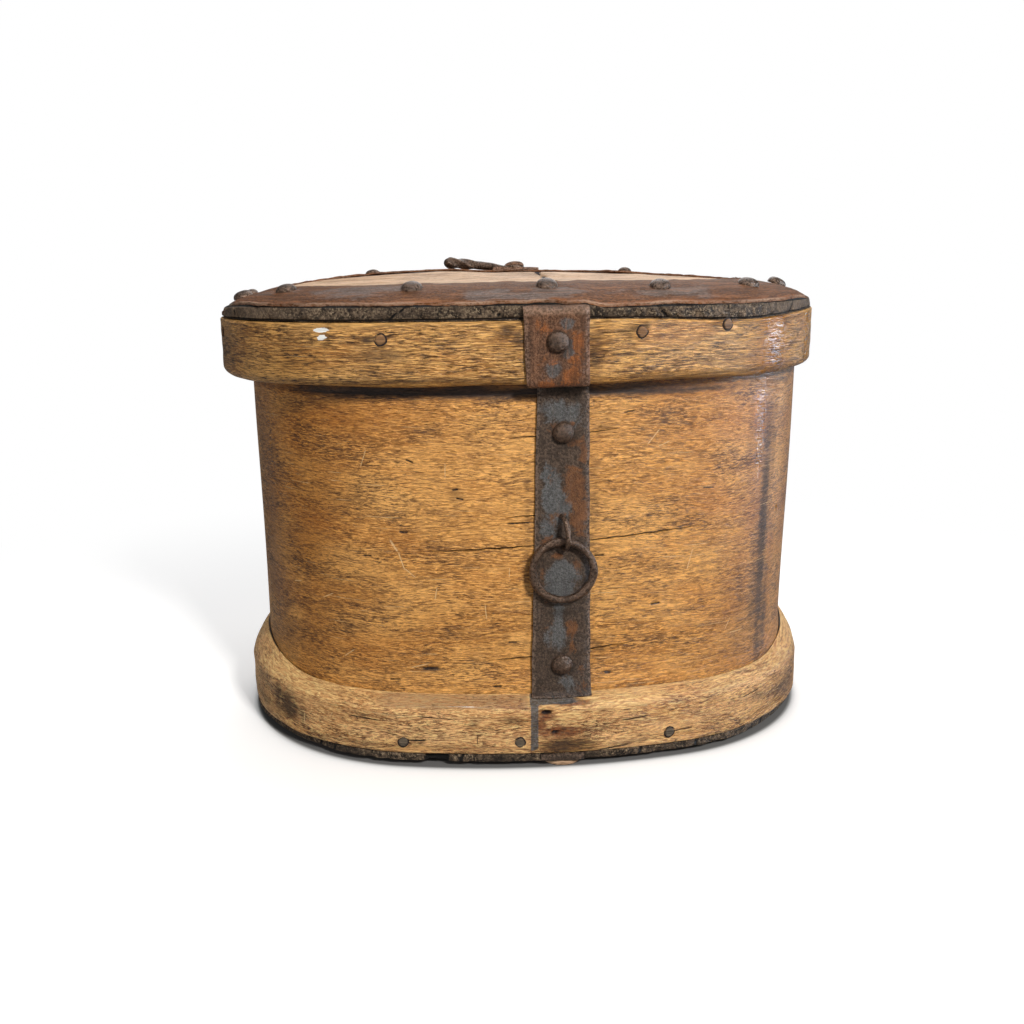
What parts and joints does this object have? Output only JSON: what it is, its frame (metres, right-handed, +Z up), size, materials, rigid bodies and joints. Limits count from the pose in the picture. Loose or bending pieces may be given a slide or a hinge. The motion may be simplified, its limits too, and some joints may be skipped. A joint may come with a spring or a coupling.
{
  "type": "oval bentwood tine box",
  "caption": "Oval bentwood tine box with a rounded base band, a hinged crowned lid under an iron ring, iron straps, a hanging pull ring and a twisted iron lid handle.",
  "frame": {"origin": "on the ground, under the middle of the whole object, lid bands and straps included", "axes": "+X along the box to the right seen from the front, +Y to the back where the hinge is, +Z up"},
  "size_m": [0.3592, 0.2692, 0.2744],
  "materials": {
    "honey_wood": "old waxed softwood, worn",
    "brown_softwood": "dark, dry, dirty softwood",
    "pale_softwood": "pale, dry, bare softwood",
    "root_fibre": "split root, dark and dry",
    "rust_brown_iron": "forged, dull brown rust",
    "grey_iron": "forged, blue-grey with rust patches",
    "dark_iron": "forged, dark, slightly rusty"
  },
  "bodies": {
    "box": {"feet": "pale_softwood", "under_strap_end": "rust_brown_iron", "bottom_board": "brown_softwood", "base_band": "honey_wood", "bent_wall": "honey_wood", "base_band_pegs": "pale_softwood", "wall_seam_stitches": "root_fibre", "front_strap": "grey_iron", "front_strap_rivets": "grey_iron", "front_strap_roves": "rust_brown_iron", "ring_staple": "dark_iron", "body_hinge_strap": "grey_iron", "body_hinge_rivets": "grey_iron", "body_hinge_roves": "rust_brown_iron", "hinge_pin": "dark_iron"},
    "lid": {"lid_band": "honey_wood", "lid_board": "pale_softwood", "lid_band_pegs": "pale_softwood", "lid_iron_ring": "rust_brown_iron", "lid_ring_nails": "dark_iron", "lid_front_strap": "rust_brown_iron", "lid_front_strap_nail": "rust_brown_iron", "lid_hinge_strap": "rust_brown_iron", "lid_hinge_strap_nail": "rust_brown_iron", "handle_rivet": "dark_iron"},
    "pull_ring": {"pull_ring": "dark_iron"},
    "handle": {"twisted_handle": "dark_iron"}
  },
  "joints": [
    {"name": "lid_hinge", "type": "hinge", "parent": "box", "child": "lid", "pos_m": [0.0053, 0.12105, 0.20665], "axis": [-1, 0, 0], "range_deg": [0, 120]},
    {"name": "pull_ring_swing", "type": "hinge", "parent": "box", "child": "pull_ring", "pos_m": [0.0117, -0.12055, 0.1281], "axis": [-1, 0, 0], "range_deg": [0, 170]},
    {"name": "handle_swing", "type": "hinge", "parent": "lid", "child": "handle", "pos_m": [0.0053, 0.0956, 0.26372], "axis": [0, 0.2985, 0.9544], "range_deg": [0, 175]}
  ]
}
